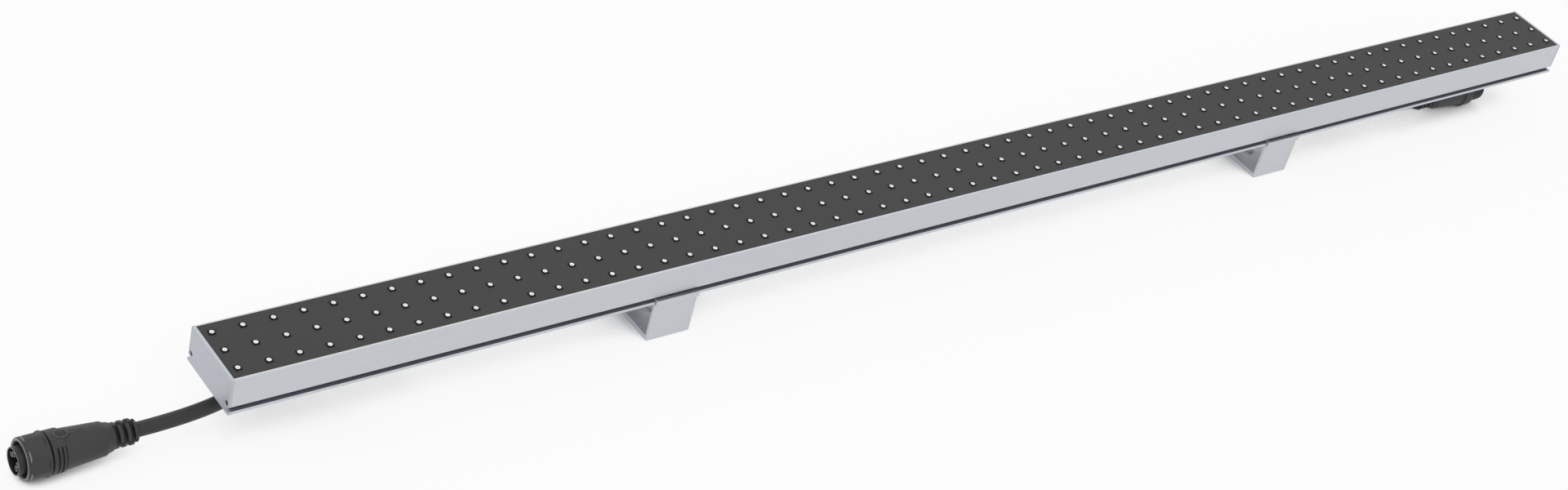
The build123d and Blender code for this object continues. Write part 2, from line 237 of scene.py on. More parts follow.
def mouldedPlastic(name, light, dark, roughness, grain=0.25, scale=1900.0, specular=0.35):
    # fine grain with cloudy gloss; the piece's own marks add a painted highlight on edges and painted shade
    # in hollows
    paint = Paint(name, roughness=roughness, specular=specular)
    texture = paint.noise(paint.coords, scale, detail=3.0, roughness=0.65)
    cloud = paint.noise(paint.coords, 60.0, detail=3.0)
    color = paint.mixColor((texture * 0.4 + cloud * 0.6).ramp(0.35, 0.65), dark, light)
    # painted highlight and painted shade from the mesh's marks
    color = paint.paintedHighlightAndShade(color, tone(138, 138, 139), (0.0015, 0.0015, 0.0016), cloud)
    rough = (texture * 0.5 + cloud * 0.5).ramp(0.35, 0.65, roughness - 0.08, roughness + 0.08)
    normal = paint.bump(texture, grain, 0.00006)
    return paint.set(color=color, roughness=rough, normal=normal)


casting = {"halfWidth": 20.55, "halfLength": 496.8, "border": 0.5, "fade": 0.2}


def castResin(name, light, dark, roughness):
    # poured casting: almost flat, with a slow swell, a fine pale speckle, and painted shade as a darker line
    # round its border
    paint = Paint(name, roughness=roughness, specular=0.28)
    swell = paint.noise(paint.coords, 70.0, detail=2.0)
    speck = paint.noise(paint.coords, 2200.0, detail=2.0, roughness=0.7)
    dust = speck.ramp(0.60, 0.74)
    color = paint.mixColor(swell.ramp(0.3, 0.7), dark, light)
    color = paint.mixColor(dust * 0.25, color, tuple(3 * c for c in light))
    x, y, z = paint.axes()
    across = (casting["halfWidth"] - casting["border"]) * mm
    along = (casting["halfLength"] - casting["border"]) * mm
    fade = casting["fade"] * mm
    # painted shade: a darker line round the casting's border, where it meets the rim
    border = y.math("ABSOLUTE").ramp(across, across + fade)
    border = border.math("MAXIMUM", x.math("ABSOLUTE").ramp(along, along + fade))
    color = paint.mixColor(border * 0.8, color, tuple(0.15 * c for c in dark))
    rough = swell.ramp(0.3, 0.7, roughness - 0.05, roughness + 0.06)
    normal = paint.bump(swell, 0.05, 0.0004)
    normal = paint.bump(speck, 0.16, 0.00005, normal)
    return paint.set(color=color, roughness=rough, normal=normal)


def ledWindow(name, pitch, rowPitch, rim, centre):
    # pale potting over the chips: each window is a little darker in its middle
    paint = Paint(name, roughness=0.22, coat=0.4)
    x, y, z = paint.axes()
    u = (x / (pitch * mm)).math("FRACT") - 0.5
    v = ((y / (rowPitch * mm)) + 0.5).math("FRACT") - 0.5
    across = u * pitch
    along = v * rowPitch
    radius = (across * across + along * along).math("SQRT")
    blot = paint.noise(paint.coords, 1500.0, detail=2.0)
    factor = (radius + blot * 0.25).ramp(0.42, 0.68)
    color = paint.mixColor(factor, centre, rim)
    normal = paint.bump(blot, 0.1, 0.00004)
    return paint.set(color=color, normal=normal)


def turnedSteel(name, light, dark, roughness=0.3):
    paint = Paint(name, metallic=0.9, roughness=roughness)
    grain = paint.noise(paint.coords, 900.0, detail=2.0)
    color = paint.mixColor(grain.ramp(0.35, 0.65), dark, light)
    return paint.set(color=color, roughness=grain.ramp(0.3, 0.7, roughness - 0.08, roughness + 0.1),
                     normal=paint.bump(grain, 0.15, 0.00004))


def circuitBoard(name, mask, trace):
    paint = Paint(name, roughness=0.35, coat=0.3)
    tracks = paint.shade("ShaderNodeTexBrick", {"offset": 0.5}, {
        "Vector": paint.coords, "Scale": 260.0, "Mortar Size": 0.03, "Brick Width": 0.9, "Row Height": 0.35},
        output=1)
    color = paint.mixColor(tracks * 0.6, mask, trace)
    weave = paint.noise(paint.coords, 1400.0, detail=2.0)
    return paint.set(color=color, normal=paint.bump(weave + tracks, 0.15, 0.00005))


finish = {
    "extrusion": extrudedAluminium("Extruded aluminium", tone(204, 208, 213), tone(195, 199, 205), 0.42,
                                   bar=True),
    "cap": blastedAluminium("End cap satin", tone(191, 195, 202), tone(181, 185, 192), 0.45),
    "bracket": extrudedAluminium("Bracket aluminium", tone(206, 209, 213), tone(196, 199, 204), 0.42),
    "resin": castResin("Black casting resin", tone(60, 60, 60), tone(54, 54, 54), 0.6),
    "ledBody": mouldedPlastic("LED body black", tone(10, 10, 10), tone(5, 5, 5), 0.42, grain=0.1,
                              specular=0.15),
    "ledWindow": ledWindow("LED window", 1000 / 60, 14.0, tone(236, 236, 234), tone(176, 176, 173)),
    "board": circuitBoard("Circuit board", (0.012, 0.07, 0.035), (0.05, 0.2, 0.1)),
    "chip": mouldedPlastic("Chip plastic", tone(40, 40, 42), tone(30, 30, 32), 0.4, grain=0.15),
    "can": turnedSteel("Capacitor can", (0.75, 0.75, 0.76), (0.6, 0.6, 0.62)),
    "terminal": mouldedPlastic("Terminal plastic", (0.03, 0.22, 0.09), (0.02, 0.16, 0.07), 0.4, grain=0.15),
    "seal": mouldedPlastic("Seal rubber", tone(44, 44, 45), tone(34, 34, 35), 0.7, grain=0.3),
    "steel": turnedSteel("Screw steel", (0.20, 0.20, 0.22), (0.10, 0.10, 0.12), 0.4),
    "boot": mouldedPlastic("Boot rubber", tone(48, 48, 49), tone(40, 40, 41), 0.6, grain=0.3),
    "core": turnedSteel("Core copper", (0.75, 0.33, 0.18), (0.55, 0.22, 0.12)),
    "jacket": mouldedPlastic("Cable jacket", tone(50, 50, 51), tone(42, 42, 43), 0.5, grain=0.12,
                             scale=1200.0),
    "moulding": mouldedPlastic("Plug moulding", tone(57, 57, 58), tone(49, 49, 50), 0.52, grain=0.3),
    "nut": mouldedPlastic("Nut plastic", tone(58, 58, 59), tone(50, 50, 51), 0.45, grain=0.2),
    "insert": mouldedPlastic("Insert plastic", tone(50, 50, 51), tone(40, 40, 41), 0.45, grain=0.2),
    "plating": turnedSteel("Contact plating", (0.42, 0.42, 0.41), (0.30, 0.30, 0.29), 0.35),
}

nodeFinish = {
    "extrusion": ["housing"],
    "cap": ["left_end_cap", "right_end_cap"],
    "resin": ["black_resin"],
    "board": ["led_board_1", "led_board_2", "led_board_3", "led_board_4",
              "left_driver_board", "right_driver_board"],
    "chip": ["driver_chips", "board_links"],
    "can": ["driver_capacitors"],
    "terminal": ["wire_terminals"],
    "seal": ["left_end_seal", "right_end_seal"],
    "steel": ["end_cap_screws"],
    "boot": ["cable_boots"],
    "core": ["cable_cores"],
}
for key, names in nodeFinish.items():
    for name in names:
        mesh = cadNodes[name].data
        mesh.materials.clear()
        mesh.materials.append(finish[key])
print("finishes made:", len(finish))

# mesh helpers


def newObject(name, mesh, material=None):
    piece = bpy.data.objects.new(name, mesh)
    bpy.context.scene.collection.objects.link(piece)
    if material:
        mesh.materials.clear()
        mesh.materials.append(material)
    return piece


def smoothByAngle(mesh, degrees):
    # smooth faces, sharp only where two faces meet at more than the angle
    bm = bmesh.new()
    bm.from_mesh(mesh)
    limit = math.radians(degrees)
    for face in bm.faces:
        face.smooth = True
    for edge in bm.edges:
        edge.smooth = len(edge.link_faces) == 2 and edge.calc_face_angle(0) < limit
    bm.to_mesh(mesh)
    bm.free()


def skin(bm, one, two):
    # faces between two loops of points; a loop of a single point is a tip
    count = max(len(one), len(two))
    for step in range(count):
        after = (step + 1) % count
        if len(one) == 1:
            bm.faces.new((one[0], two[step], two[after]))
        elif len(two) == 1:
            bm.faces.new((one[step], two[0], one[after]))
        else:
            bm.faces.new((one[step], two[step], two[after], one[after]))


def closedMesh(bm, name, angle):
    # a named mesh with its faces outwards, smooth apart from its sharp edges
    bmesh.ops.recalc_face_normals(bm, faces=bm.faces)
    mesh = bpy.data.meshes.new(name)
    bm.to_mesh(mesh)
    bm.free()
    smoothByAngle(mesh, angle)
    return mesh


def radialMesh(name, rings, segments, radiusAt=None, angle=30, hollow=False):
    # closed skin round the X axis; rings are (station, radius) or (station, radius, key) from end to end,
    # radiusAt(station, radius, theta, key) gives the real radius and a mark between -1 and 1
    # (a painted highlight above zero, painted shade below), and hollow joins the last ring to the first
    bm = bmesh.new()
    marks = bm.verts.layers.float.new("mark")
    loops = []
    for ring in rings:
        station, radius = ring[0], ring[1]
        key = ring[2] if len(ring) > 2 else None
        if radius <= 0:
            loops.append([bm.verts.new((station * mm, 0, 0))])
            continue
        loop = []
        for step in range(segments):
            theta = 2 * math.pi * step / segments
            r, mark = radiusAt(station, radius, theta, key) if radiusAt else (radius, 0)
            point = bm.verts.new((station * mm, r * mm * math.cos(theta), r * mm * math.sin(theta)))
            point[marks] = mark
            loop.append(point)
        loops.append(loop)
    for one, two in zip(loops, loops[1:] + (loops[:1] if hollow else [])):
        skin(bm, one, two)
    return closedMesh(bm, name, angle)


# geometry nodes


class NodeTree:
    # a geometry tree under construction, with named inputs
    def __init__(self, name, inputs):
        self.tree = bpy.data.node_groups.new(name, "GeometryNodeTree")
        self.tree.interface.new_socket("Geometry", in_out="INPUT", socket_type="NodeSocketGeometry")
        for label, kind in inputs:
            self.tree.interface.new_socket(label, in_out="INPUT", socket_type="NodeSocket" + kind)
        self.tree.interface.new_socket("Geometry", in_out="OUTPUT", socket_type="NodeSocketGeometry")
        self.source = self.tree.nodes.new("NodeGroupInput").outputs
        self.result = self.tree.nodes.new("NodeGroupOutput").inputs[0]

    def node(self, kind, settings=None, sockets=None):
        node = self.tree.nodes.new(kind)
        for name, value in (settings or {}).items():
            setattr(node, name, value)
        for name, value in (sockets or {}).items():
            if isinstance(value, bpy.types.NodeSocket):
                self.tree.links.new(value, node.inputs[name])
            else:
                node.inputs[name].default_value = value
        return node

    def math(self, operation, one, two):
        return self.node("ShaderNodeMath", {"operation": operation}, {0: one, 1: two}).outputs[0]

    def end(self, geometry):
        real = self.node("GeometryNodeRealizeInstances", {}, {0: geometry}).outputs[0]
        painted = self.node("GeometryNodeSetMaterial", {}, {
            "Geometry": real, "Material": self.source["Finish"]})
        self.tree.links.new(painted.outputs[0], self.result)
        return self.tree


def gridRepeatTree():
    # copies of one template on a regular grid
    build = NodeTree("gridRepeat", [("Template", "Object"), ("Columns", "Int"), ("Rows", "Int"),
                                    ("Column Pitch", "Float"), ("Row Pitch", "Float"),
                                    ("Finish", "Material")])
    source = build.source
    length = build.math("MULTIPLY", build.math("SUBTRACT", source["Columns"], 1.0), source["Column Pitch"])
    width = build.math("MULTIPLY", build.math("SUBTRACT", source["Rows"], 1.0), source["Row Pitch"])
    grid = build.node("GeometryNodeMeshGrid", {}, {
        "Size X": length, "Size Y": width, "Vertices X": source["Columns"], "Vertices Y": source["Rows"]})
    template = build.node("GeometryNodeObjectInfo", {}, {"Object": source["Template"]})
    copies = build.node("GeometryNodeInstanceOnPoints", {}, {
        "Points": grid.outputs["Mesh"], "Instance": template.outputs["Geometry"]})
    return build.end(copies.outputs[0])


def pointRepeatTree():
    # copies of one template on the piece's own points, its X axis turned along each point's aim
    build = NodeTree("pointRepeat", [("Template", "Object"), ("Size", "Float"), ("Finish", "Material")])
    source = build.source
    aim = build.node("GeometryNodeInputNamedAttribute", {"data_type": "FLOAT_VECTOR"}, {"Name": "aim"})
    turn = build.node("FunctionNodeAlignRotationToVector", {"axis": "X"}, {"Vector": aim.outputs[0]})
    template = build.node("GeometryNodeObjectInfo", {}, {"Object": source["Template"]})
    copies = build.node("GeometryNodeInstanceOnPoints", {}, {
        "Points": source["Geometry"], "Instance": template.outputs["Geometry"],
        "Rotation": turn.outputs[0], "Scale": source["Size"]})
    return build.end(copies.outputs[0])


def grown(name, tree, values, base=None):
    # runs a tree on a base mesh and keeps the result as a plain mesh
    base = base or bpy.data.meshes.new(name + "Base")
    holder = newObject(name + "Holder", base)
    modifier = holder.modifiers.new("grow", "NODES")
    modifier.node_group = tree
    for item in tree.interface.items_tree:
        if item.in_out == "INPUT" and item.name in values:
            modifier[item.identifier] = values[item.name]
    bpy.context.view_layer.update()
    graph = bpy.context.evaluated_depsgraph_get()
    mesh = bpy.data.meshes.new_from_object(holder.evaluated_get(graph))
    holder.modifiers.remove(modifier)
    bpy.data.objects.remove(holder)
    mesh.name = name
    return newObject(name, mesh)


def aimedPoints(name, spots):
    # a mesh of loose points, each with the direction that its copy looks to
    mesh = bpy.data.meshes.new(name)
    mesh.from_pydata([[c * mm for c in spot] for spot, aim in spots], [], [])
    attribute = mesh.attributes.new("aim", "FLOAT_VECTOR", "POINT")
    for item, (spot, aim) in zip(attribute.data, spots):
        item.vector = aim
    return mesh


gridRepeat = gridRepeatTree()
pointRepeat = pointRepeatTree()


def template(name, mesh):
    piece = newObject(name, mesh)
    piece.hide_render = True
    return piece


def dropTemplate(piece):
    bpy.data.objects.remove(piece)


def copied(name, mesh, material, spots):
    # copies of one mesh on the spots, each turned along its aim
    source = template(name + "Template", mesh)
    piece = grown(name, pointRepeat, {"Template": source, "Size": 1.0, "Finish": finish[material]},
                  aimedPoints(name + "Spots", spots))
    dropTemplate(source)
    return piece


# LEDs

led = {
    "columns": 60, "rows": 3, "pitch": 1000 / 60, "rowPitch": 14.0,
    "side": 3.6, "corner": 0.35, "base": 46.57, "top": 47.52, "bevel": 0.12, "sides": 24,
    "ring": 1.4, "cup": 1.27, "cupDepth": 0.10, "window": 1.25, "crown": 0.08,
}


def ledBodyMesh():
    # square body with rounded corners, a bevelled top and a round cup for the window
    side, corner, bevel, count = led["side"] / 2, led["corner"], led["bevel"], led["sides"]

    def squareLoop(half, radius, z):
        points = []
        for step in range(count):
            a = 2 * math.pi * step / count
            reach = half / max(abs(math.cos(a)), abs(math.sin(a)))
            reach = min(reach, (half - radius) * math.sqrt(2) + radius)
            points.append((reach * math.cos(a), reach * math.sin(a), z))
        return points

    def roundLoop(radius, z):
        turns = [2 * math.pi * step / count for step in range(count)]
        return [(radius * math.cos(a), radius * math.sin(a), z) for a in turns]

    top = led["top"]
    loops = [
        squareLoop(side, corner, led["base"]),
        squareLoop(side, corner, top - bevel),
        squareLoop(side - bevel, corner, top),
        roundLoop(led["ring"] + 0.04, top),
        roundLoop(led["ring"] - 0.04, top + 0.04),
        roundLoop(led["cup"] + 0.02, top + 0.04),
        roundLoop(led["cup"], top - led["cupDepth"]),
    ]
    bm = bmesh.new()
    made = [[bm.verts.new([c * mm for c in point]) for point in loop] for loop in loops]
    for one, two in zip(made, made[1:]):
        skin(bm, one, two)
    bm.faces.new(made[0])
    bm.faces.new(made[-1])
    return closedMesh(bm, "ledBody", 30)


def ledWindowMesh():
    # low dome that fills the cup
    top, window, crown = led["top"], led["window"], led["crown"]
    bottom = top - led["cupDepth"] - 0.05
    rings = [(bottom, 0.0), (bottom, window), (top + 0.01, window), (top + crown * 0.75, window * 0.78),
             (top + crown - 0.01, window * 0.4), (top + crown, 0.0)]
    mesh = radialMesh("ledWindow", rings, led["sides"], angle=50)
    mesh.transform(Matrix.Rotation(math.radians(-90), 4, "Y"))
    return mesh


def buildLeds():
    made = []
    for name, mesh, material, nodes in (
            ("ledBodies", ledBodyMesh(), finish["ledBody"], "led_packages"),
            ("ledWindows", ledWindowMesh(), finish["ledWindow"], "led_packages")):
        source = template(name + "Template", mesh)
        piece = grown(name, gridRepeat, {
            "Template": source, "Columns": led["columns"], "Rows": led["rows"],
            "Column Pitch": led["pitch"] * mm, "Row Pitch": led["rowPitch"] * mm, "Finish": material})
        dropTemplate(source)
        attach(piece, "bar")
        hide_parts(nodes)
        made.append(piece)
    return made


ledPieces = buildLeds()
print("LEDs made:", led["columns"] * led["rows"])

# brackets

foot = {
    "x": 234.0, "length": 28.0, "floor": 2.5, "wall": 1.8, "half": 22.5, "jawHalf": 24.0, "seat": 25.0,
    "lipLow": 27.2, "lipTop": 28.5, "lipTip": 20.2, "flange": 22.5, "slope": 1.5, "bevel": 0.3,
    "hole": 2.75, "sink": 4.75,
}


def footOutline():
    # the foot's section in YZ, half of it and its mirror image
    half = [
        (foot["half"], 0), (foot["half"], foot["seat"] - foot["slope"]),
        (foot["jawHalf"], foot["seat"]), (foot["jawHalf"], foot["lipTop"]),
        (foot["lipTip"], foot["lipTop"]), (foot["lipTip"], foot["lipLow"]),
        (foot["flange"], foot["lipLow"]), (foot["flange"], foot["seat"]),
        (foot["half"] - foot["wall"], foot["seat"]), (foot["half"] - foot["wall"], foot["floor"]),
    ]
    return half + [(-y, z) for y, z in reversed(half)]


def cutAway(piece, cutter):
    # exact boolean cut that keeps the result as a plain mesh
    modifier = piece.modifiers.new("cut", "BOOLEAN")
    modifier.operation = "DIFFERENCE"
    modifier.solver = "EXACT"
    modifier.object = cutter
    bpy.context.view_layer.update()
    graph = bpy.context.evaluated_depsgraph_get()
    mesh = bpy.data.meshes.new_from_object(piece.evaluated_get(graph))
    piece.modifiers.remove(modifier)
    piece.data = mesh
    bpy.data.objects.remove(cutter)
    return piece


def buildFoot(name, body, x):
    # the same section and screw hole as the solid; edges are broken round before the hole is cut
    bm = bmesh.new()
    half = foot["length"] / 2
    points = [bm.verts.new((-half * mm, y * mm, z * mm)) for y, z in footOutline()]
    face = bm.faces.new(points)
    out = bmesh.ops.extrude_face_region(bm, geom=[face])
    for item in out["geom"]:
        if isinstance(item, bmesh.types.BMVert):
            item.co.x = half * mm
    bmesh.ops.recalc_face_normals(bm, faces=bm.faces)
    sharp = [e for e in bm.edges if e.calc_face_angle(0) > math.radians(30)]
    bmesh.ops.bevel(bm, geom=sharp, offset=foot["bevel"] * mm, segments=3, profile=0.5, affect="EDGES",
                    clamp_overlap=True)
    mesh = bpy.data.meshes.new(name)
    bm.to_mesh(mesh)
    bm.free()
    piece = newObject(name, mesh, finish["bracket"])
    sink = foot["sink"] - foot["hole"]
    rings = [(-1, 0), (-1, foot["hole"]), (foot["floor"] - sink, foot["hole"]),
             (foot["floor"] + 0.05, foot["sink"] + 0.05), (foot["floor"] + 0.05, 0)]
    cutterMesh = radialMesh(name + "Cutter", rings, 64)
    cutterMesh.transform(Matrix.Rotation(math.radians(-90), 4, "Y"))
    cutAway(piece, newObject(name + "Cutter", cutterMesh))
    piece.data.transform(Matrix.Translation((x * mm, 0, 0)))
    smoothByAngle(piece.data, 40)
    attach(piece, body)
    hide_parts(body)


buildFoot("leftFoot", "left_bracket", -foot["x"])
buildFoot("rightFoot", "right_bracket", foot["x"])
print("brackets made")

# screws

capScrew = {
    "x": 498.25, "y": 19.3, "z": 31.25,
    "head": 1.5, "shank": 0.95, "length": 8.45, "recess": 0.62, "recessDepth": 0.5,
}
bootScrew = {
    "x": (-428.0, 279.5), "y": 11.0, "z": 22.0,
    "head": 2.6, "height": 1.5, "recess": 1.3, "recessDepth": 0.8,
}


def crossHead(name, rings, recess, depth, segments=32):
    # turned head along X with a cross recess pressed into its face
    mesh = radialMesh(name, rings, segments, angle=35)
    bm = bmesh.new()
    bm.from_mesh(mesh)
    front = max(v.co.x for v in bm.verts) - 0.0001 * mm
    arm = recess * 0.34
    for width, length in ((arm, recess), (recess, arm)):
        for point, normal in (((0, width * mm, 0), (0, 1, 0)), ((0, -width * mm, 0), (0, 1, 0)),
                              ((0, 0, length * mm), (0, 0, 1)), ((0, 0, -length * mm), (0, 0, 1))):
            faces = [f for f in bm.faces if f.calc_center_median().x > front or f.normal.x > 0.9]
            edges = {e for f in faces for e in f.edges}
            points = {v for f in faces for v in f.verts}
            bmesh.ops.bisect_plane(bm, geom=faces + list(edges) + list(points),
                                   plane_co=point, plane_no=normal)
    inside = []
    for f in bm.faces:
        centre = f.calc_center_median()
        y, z = abs(centre.y) / mm, abs(centre.z) / mm
        if f.normal.x > 0.6 and ((y < arm and z < recess) or (z < arm and y < recess)):
            inside.append(f)
    out = bmesh.ops.extrude_face_region(bm, geom=inside)
    bmesh.ops.delete(bm, geom=inside, context="FACES")
    for item in out["geom"]:
        if isinstance(item, bmesh.types.BMVert):
            item.co.x -= depth * mm
            item.co.y *= 0.8
            item.co.z *= 0.8
    bmesh.ops.recalc_face_normals(bm, faces=bm.faces)
    bm.to_mesh(mesh)
    bm.free()
    smoothByAngle(mesh, 35)
    return mesh


def buildScrews():
    head, shank = capScrew["head"], capScrew["shank"]
    rings = [(-capScrew["length"], 0), (-capScrew["length"], shank), (-1.5, shank), (-0.12, head - 0.03),
             (-0.03, head), (0, head - 0.1), (0, head * 0.5), (0, 0)]
    spots = [((side * capScrew["x"], y, capScrew["z"]), (side, 0, 0))
             for side in (-1, 1) for y in (-capScrew["y"], capScrew["y"])]
    mesh = crossHead("capScrew", rings, capScrew["recess"], capScrew["recessDepth"])
    piece = copied("endCapScrews", mesh, "steel", spots)
    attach(piece, "bar")
    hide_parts("end_cap_screws")

    head, height = bootScrew["head"], bootScrew["height"]
    rings = [(-0.3, 0), (-0.3, head - 0.2), (0, head), (height * 0.45, head), (height * 0.85, head * 0.86),
             (height, head * 0.62), (height, head * 0.3), (height, 0)]
    spots = [((x, y, bootScrew["z"]), (0, 0, -1))
             for x in bootScrew["x"] for y in (-bootScrew["y"], bootScrew["y"])]
    mesh = crossHead("bootScrew", rings, bootScrew["recess"], bootScrew["recessDepth"])
    piece = copied("bootScrews", mesh, "steel", spots)
    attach(piece, "bar")


buildScrews()
print("screws made")

# plugs

socketPlug = {
    "x": -594.5, "y": -2.55, "z": 11.5, "facing": 1,
    "neck": 7.7, "neckLength": 2.6, "collarStart": 12.8, "collarEnd": 19.5, "collar": 10.9, "collarEdge": 0.8,
    "scale": 1.0, "front": 10.2, "rear": 8.6, "taper": 20.7, "shoulder": 4.0,
    "reliefLength": 13.0, "relief": 6.6, "reliefTip": 5.8,
    "grooves": (15.4, 17.5, 19.5), "grooveWidth": 0.85, "grooveDepth": 0.65, "grooveSpread": 52,
    "slots": 6, "slotWidth": 2.1, "slotPitch": 3.9, "slotFloor": 4.5,
    "grip": (19.4, 3.6, 2.9), "gripRim": 0.16, "hatchDepth": 0.17, "hatchPitch": 1.25,
    "tail": 31.5, "tailDepth": 0.16, "fineStep": 0.22, "plainStep": 1.2,
}
pinPlug = dict(socketPlug, x=450.0, y=-3.0, z=10.5, facing=-1, neck=9.4, neckLength=0.0,
               collarStart=13.2, collarEnd=19.9, collar=10.5, scale=0.92, taper=24.3, grooves=())
contacts = {"radius": 3.7, "angles": (27, 77, 172, 222), "sleeve": 1.5, "hole": 1.0, "rim": 0.22, "pin": 0.75}


def onPlug(plug, name, mesh, material):
    # puts a mesh on the plug's axis, mirrored for the plug that faces the other way
    facing = plug["facing"]
    place = Matrix.Translation((plug["x"] * mm, plug["y"] * mm, plug["z"] * mm))
    mesh.transform(place @ Matrix.Diagonal((facing, 1, 1, 1)))
    if facing < 0:
        mesh.flip_normals()
    return newObject(name, mesh, finish[material])


def smoothStep(value, low, high):
    t = min(max((value - low) / (high - low), 0), 1)
    return t * t * (3 - 2 * t)


def bodyStations(plug):
    # where the taper, its shoulder and the strain relief end
    taperEnd = plug["collarEnd"] + plug["collarEdge"] + plug["taper"]
    shoulderEnd = taperEnd + plug["shoulder"]
    return taperEnd, shoulderEnd, shoulderEnd + plug["reliefLength"]


def slotSpans(plug):
    # start and end of each staggered slot in the strain relief
    first = bodyStations(plug)[2] - plug["reliefLength"] + plug["slotWidth"] / 2
    starts = [first + i * plug["slotPitch"] / 2 for i in range(plug["slots"])]
    return [(s, s + plug["slotWidth"]) for s in starts]


def bodyRings(plug):
    # stations along the moulded body, close together where the surface carries detail
    k = plug["scale"]
    collarStart, collarEnd, collar = plug["collarStart"], plug["collarEnd"], plug["collar"]
    taperEnd, shoulderEnd, end = bodyStations(plug)
    front, rear, shoulder = plug["front"] * k, plug["rear"] * k, plug["shoulder"]
    relief, tip, step = plug["relief"] * k, plug["reliefTip"] * k, 0.9 * plug["rear"] * k
    neckStart = collarStart - plug["neckLength"]
    rings = [(neckStart, 0), (neckStart, plug["neck"]), (collarStart, plug["neck"]),
             (collarStart, collar - 0.35), (collarStart + 0.3, collar)]
    s = collarStart + 0.5
    while s < collarEnd - 0.2:
        rings.append((s, collar))
        s += plug["fineStep"]
    rings += [(collarEnd, collar - 0.05), (collarEnd + 0.4, collar - 0.4),
              (collarEnd + plug["collarEdge"], front)]
    s = collarEnd + 1.0
    while s < taperEnd - 0.3:
        rings.append((s, front + (rear - front) * (s - collarEnd - plug["collarEdge"]) / plug["taper"]))
        s += plug["fineStep"] if s < plug["tail"] + 1 else plug["plainStep"]
    rings += [(taperEnd, rear), (taperEnd + 0.35, rear - 0.12), (taperEnd + shoulder / 3, step + 0.15),
              (taperEnd + shoulder / 3 + 0.3, step), (shoulderEnd - 0.3, step - 0.4),
              (shoulderEnd, step - 0.55), (shoulderEnd + 0.02, relief)]
    stations = set()
    for s0, s1 in slotSpans(plug):
        stations.update(s0 + near for near in (-0.2, -0.08, -0.01, 0.02))
        stations.add((s0 + s1) / 2)
        stations.update(s1 + near for near in (-0.02, 0.01, 0.08, 0.2))
    last = shoulderEnd + 0.02
    for s in sorted(stations):
        if s > last + 0.004 and s < end - 0.1:
            rings.append((s, relief - 0.8 * k * smoothStep(s, end - 0.9, end)))
            last = s
    rings += [(end - 0.05, tip + 0.1), (end, tip - 0.1), (end, 0)]
    return rings


def bodyRadius(plug):
    # partial ring grooves, the oval grip with its pointer, and the staggered slots of the strain relief;
    # the marks paint shade into the grooves, the grip's hatching, the pointer, the slots and the hidden neck,
    # and a highlight on the grip's rim
    floor = plug["slotFloor"] * plug["scale"]
    spans = slotSpans(plug)
    centre, halfLength, halfWidth = plug["grip"]
    gripEnd = centre + halfLength * 0.8

    def radiusAt(s, r, theta, key):
        # painted shade on the neck, inside the collar
        if r < plug["neck"] + 0.01 and s < plug["collarStart"] + 0.01:
            return r, -1
        degrees = math.degrees(theta) % 360
        side = min(abs(degrees), abs(degrees - 180), abs(degrees - 360))
        out, mark = r, 0
        for groove in plug["grooves"]:
            across = 1 - smoothStep(abs(s - groove), plug["grooveWidth"] * 0.28, plug["grooveWidth"] * 0.5)
            spread = 1 - smoothStep(side, plug["grooveSpread"] - 3, plug["grooveSpread"])
            out -= plug["grooveDepth"] * across * spread
            # painted shade in the groove
            mark -= 0.9 * across * spread
        if plug["grooves"] and s < plug["tail"]:
            arc = r * math.radians(degrees - 90)
            u, v = (s - centre) / halfLength, arc / halfWidth
            d = math.hypot(u, v)
            if d < 1.4:
                lift = plug["collar"] - 0.1 - r if s > plug["collarEnd"] - 0.5 else 0.0
                inside = 1 - smoothStep(d, 0.98, 1.12)
                hatch = math.sin(2 * math.pi * (0.75 * (s - centre) + 0.66 * arc) / plug["hatchPitch"])
                rim = math.exp(-((d - 0.95) / 0.07) ** 2)
                field = 1 - smoothStep(d, 0.75, 0.85)
                out += inside * (lift * 0.75 + 0.04) + rim * plug["gripRim"]
                out += field * plug["hatchDepth"] * hatch
                # painted highlight on the grip's rim; painted shade in the hatching's troughs and in a ring
                # just outside the grip
                mark += 0.5 * rim - field * 0.85 * smoothStep(-hatch, -0.1, 0.7)
                mark -= 0.7 * math.exp(-((d - 1.12) / 0.07) ** 2)
            reach = (s - gripEnd) / (plug["tail"] - gripEnd)
            if 0 < reach < 1:
                width = 0.45 + 1.5 * (1 - reach) ** 2.2
                line = math.exp(-((abs(arc) - width) / 0.2) ** 2) * min(1, 6 * (1 - reach))
                out -= plug["tailDepth"] * line
                # painted shade along the pointer's line
                mark -= 0.6 * line
        for i, (s0, s1) in enumerate(spans):
            turn = math.radians(135 if i % 2 == 0 else 45)
            c = abs(math.cos(theta - turn))
            if c > floor / r and s0 - 0.1 < s < s1 + 0.1:
                if s0 < s < s1:
                    out = min(out, max(floor / c, floor))
                    # painted shade in the slot
                    mark = -1
                else:
                    out = min(out, r - 0.12)
        return out, max(-1, min(1, mark))

    return radiusAt


def buildBody(plug, name):
    mesh = radialMesh(name, bodyRings(plug), 216, bodyRadius(plug), angle=38)
    piece = onPlug(plug, name, mesh, "moulding")
    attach(piece, "bar")
    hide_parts("plug_bodies")
    return piece


nutShape = {
    "length": 12.0, "flat": 10.8, "corner": 11.5, "soft": 0.025, "back": 8.05,
    "bore": 9.2, "boreEnd": 10.5,
    "thread": (0.6, 10.2), "threadStep": 0.25, "threadPitch": 1.5, "threadDepth": 0.42,
}


